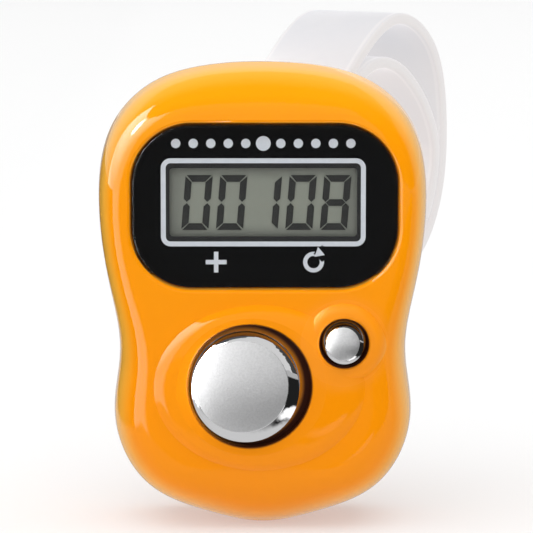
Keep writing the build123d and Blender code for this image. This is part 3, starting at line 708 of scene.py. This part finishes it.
def studio_floor():
    """Wide pale floor."""
    made, shade, shader = material(
        "floor_white",
        Roughness=0.75,
        Specular_IOR_Level=0.1,
        Emission_Color=(1, 1, 1, 1),
        Emission_Strength=0.41,
    )
    point, _ = place(shade)
    mottle = grain(shade, point, 3.0)
    feed(shade, shader, Base_Color=tint(shade, mottle, (0.45, 0.45, 0.45), (0.46, 0.46, 0.46)))
    reach = 4
    corners = [(-reach, -reach, 0), (reach, -reach, 0), (reach, reach, 0), (-reach, reach, 0)]
    data = bpy.data.meshes.new("floor")
    data.from_pydata(corners, [], [(0, 1, 2, 3)])
    placed("floor", data, made)


def toward(turn, rise):
    """Direction turned from the front to the left and raised, in degrees."""
    a, e = math.radians(turn), math.radians(rise)
    return Vector((-math.sin(a) * math.cos(e), -math.cos(a) * math.cos(e), math.sin(e)))


def softbox(name, turn, rise, far, width, height, glow):
    """Rectangular studio light that glossy surfaces don't mirror."""
    away = toward(turn, rise)
    data = bpy.data.lights.new(name, "AREA")
    data.shape = "RECTANGLE"
    data.size, data.size_y = width, height
    data.energy = glow * math.pi * width * height
    lamp = bpy.data.objects.new(name, data)
    lamp.location = STUDIO_MIDDLE + away * far
    lamp.rotation_euler = away.to_track_quat("Z", "Y").to_euler()
    lamp.visible_camera = lamp.visible_glossy = False
    bpy.context.scene.collection.objects.link(lamp)


def reflector(name, made, rows):
    """Glowing card through rows of points, which only shows in glossy surfaces."""
    wide = len(rows[0])
    faces = []
    for i in range(len(rows) - 1):
        for j in range(wide - 1):
            corner = i * wide + j
            faces.append((corner, corner + 1, corner + wide + 1, corner + wide))
    data = bpy.data.meshes.new(name)
    data.from_pydata([point for row in rows for point in row], [], faces)
    card = placed(name, data, made)
    card.visible_camera = card.visible_diffuse = card.visible_shadow = False


def glowing(name):
    """Material of a card that glows and mirrors nothing."""
    return material(name, Base_Color=(0, 0, 0, 1), Specular_IOR_Level=0.0, Emission_Strength=1.0)


def bent_card(name, turns, rises, glow, hot=0.0, core=0.0):
    """Card bent round the counter, over a span of turns and rises; hot and core add a bright spot."""
    made, shade, shader = glowing(name)
    point, _ = place(shade)
    way = shade.node("VectorMath", {"operation": "NORMALIZE"}, {0: point})
    spot = {0: way, 1: toward(CORE_TURN, CORE_RISE)}
    near_core = shade.node("VectorMath", {"operation": "DOT_PRODUCT"}, spot, 1)
    bright = glow + near_core.ease(math.cos(HOT_SPREAD), 1.0) * hot
    bright = bright + near_core.ease(math.cos(CORE_SPREAD), 1.0) * core
    feed(shade, shader, Emission_Color=grey(shade, bright))
    across, up = np.linspace(*turns, 25), np.linspace(*rises, 9)
    reflector(name, made, [[STUDIO_MIDDLE + toward(t, r) * CARD_FAR for t in across] for r in up])


def floor_card():
    """Card round the counter's foot: dark in front, bright on the left, pale close by, a glint at right."""
    made, shade, shader = glowing("floor_card")
    _, (x, y, _) = place(shade)
    ahead = -9 * MM - y
    left = ((-8 * MM - x) / ahead).ease(0.5, 0.9)
    right = (x / ahead).ease(0.18, 0.3)
    far_right = right * (-160 * MM - y).ease(0.0, 30 * MM)
    close = y.ease(-30 * MM, -24 * MM) * x.ease(-40 * MM, -30 * MM)
    beside = y.ease(-12 * MM, 0.0) * close
    glint = 1 - distance(x - 13 * MM, y + 33 * MM).ease(4 * MM, 7 * MM)
    before = 0.32 + left * 5.0 - right * 0.3 + far_right * 0.6
    bright = before * (1 - close) + close * 0.85 - beside * 0.33 + glint * 1.6
    feed(shade, shader, Emission_Color=grey(shade, bright))
    just_above = 0.4 * MM
    columns, depths = (-1.5, -0.05, 0.0, 0.8), (-1.6, -0.2, 0.0, 1.5)
    reflector("floor_card", made, [[(column, depth, just_above) for column in columns] for depth in depths])


def studio_surround():
    """Dim room with a pale backdrop behind the table, darker to the right."""
    world = bpy.data.worlds.new("studio")
    bpy.context.scene.world = world
    world.use_nodes = True
    tree = world.node_tree
    shade = Shade(tree)
    right, back, up = parts_of(shade, shade.node("TexCoord", output="Generated"))
    backdrop = back.ease(0.32, 0.5) * (0.515 - up).ease(-0.03, 0.03)
    glow = 0.12 + backdrop * 0.42 - right.ease(0.2, 0.9) * 0.08
    room = tree.nodes["Background"].inputs
    room["Color"].default_value = (1, 1, 1, 1)
    tree.links.new(glow.socket, room["Strength"])


def photo_camera():
    """Camera at the photograph's viewing angle."""
    lens = bpy.data.cameras.new("camera")
    lens.sensor_width = SENSOR
    lens.lens = SENSOR * FOCAL_PX / IMAGE_PX
    lens.clip_start, lens.clip_end = 0.01, 20
    camera = bpy.data.objects.new("camera", lens)
    camera.location = TARGET + CAMERA_FAR * Vector((0, -math.cos(CAMERA_RISE), math.sin(CAMERA_RISE)))
    camera.rotation_euler = (math.pi / 2 - CAMERA_RISE, 0, 0)
    bpy.context.scene.collection.objects.link(camera)
    bpy.context.scene.camera = camera
    bpy.context.scene.view_settings.view_transform = "Standard"


studio_floor()
floor_card()
studio_surround()
softbox("overhead", 0, 90, 2.5, 4.0, 4.0, 2.0)
softbox("fill", 0, 35, 2.5, 3.0, 2.0, 1.25)
softbox("side_fill", 75, 30, 2.0, 1.5, 1.5, 1.1)
softbox("right_fill", -85, 25, 2.0, 1.5, 1.5, 0.8)
bent_card("front_panel", (-30, 30), (-1, 54), 0.92)
bent_card("left_panel", (30, 130), (-1, 50), 4.5, hot=9.0, core=80.0)
photo_camera()

bpy.context.view_layer.update()
